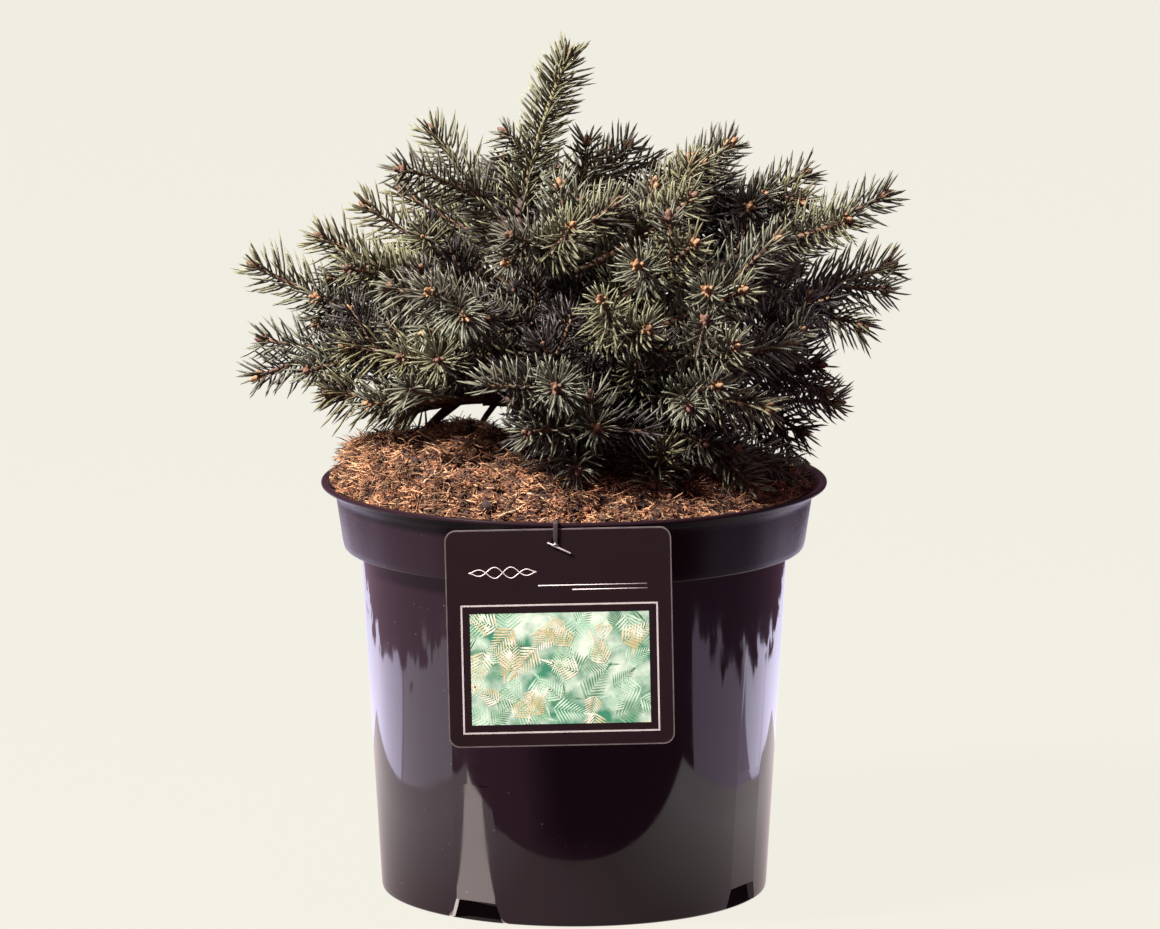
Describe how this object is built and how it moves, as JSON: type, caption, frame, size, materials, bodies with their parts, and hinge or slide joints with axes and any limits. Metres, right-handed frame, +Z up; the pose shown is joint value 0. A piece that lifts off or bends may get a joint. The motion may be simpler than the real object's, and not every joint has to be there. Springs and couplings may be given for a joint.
{
  "type": "potted dwarf globe blue spruce",
  "caption": "Dwarf globe blue spruce with a low, wide crown of needled shoots, growing in a round black nursery pot with a hanging tag.",
  "frame": {"origin": "on the pot's axis, at the pot's flat underside", "axes": "+Z up along the pot's axis, -Y towards the side with the hanging tag"},
  "size_m": [0.3074, 0.2507, 0.3933],
  "materials": {
    "pot": "glossy black",
    "soil": "loose coir fibre",
    "tag": "printed card",
    "tie": "matt black",
    "bark": "rough bark",
    "needles": "waxy grey-green"
  },
  "bodies": {
    "root": {"bough_back_left": "bark", "bough_back_low_left": "bark", "bough_back_low_right": "bark", "bough_back_middle": "bark", "bough_back_right": "bark", "bough_front_left_high": "bark", "bough_front_low": "bark", "bough_front_right": "bark", "bough_front_right_low": "bark", "bough_left_front_low": "bark", "bough_left_low": "bark", "bough_left_middle": "bark", "bough_left_skirt": "bark", "bough_right_front_low": "bark", "bough_right_low": "bark", "bough_right_middle": "bark", "bough_right_upper": "bark", "foliage_back_high": "needles", "foliage_back_left": "needles", "foliage_back_left_high": "needles", "foliage_back_low_left": "needles", "foliage_back_low_right": "needles", "foliage_back_middle": "needles", "foliage_back_right": "needles", "foliage_back_right_high": "needles", "foliage_front_high": "needles", "foliage_front_left_high": "needles", "foliage_front_left_low": "needles", "foliage_front_low": "needles", "foliage_front_middle": "needles", "foliage_front_right": "needles", "foliage_front_right_high": "needles", "foliage_front_right_low": "needles", "foliage_front_right_middle": "needles", "foliage_front_right_top": "needles", "foliage_front_skirt": "needles", "foliage_front_skirt_low": "needles", "foliage_front_top": "needles", "foliage_leader": "needles", "foliage_left_front_low": "needles", "foliage_left_low": "needles", "foliage_left_middle": "needles", "foliage_left_shoulder": "needles", "foliage_left_skirt": "needles", "foliage_left_upper": "needles", "foliage_right_front_low": "needles", "foliage_right_low": "needles", "foliage_right_middle": "needles", "foliage_right_shoulder": "needles", "foliage_right_skirt": "needles", "foliage_right_upper": "needles", "foliage_top_back": "needles", "foliage_top_left": "needles", "foliage_top_right": "needles", "pot": "pot", "soil": "soil", "tag": "tag", "tag_tie": "tie", "trunk": "bark"}
  },
  "joints": []
}
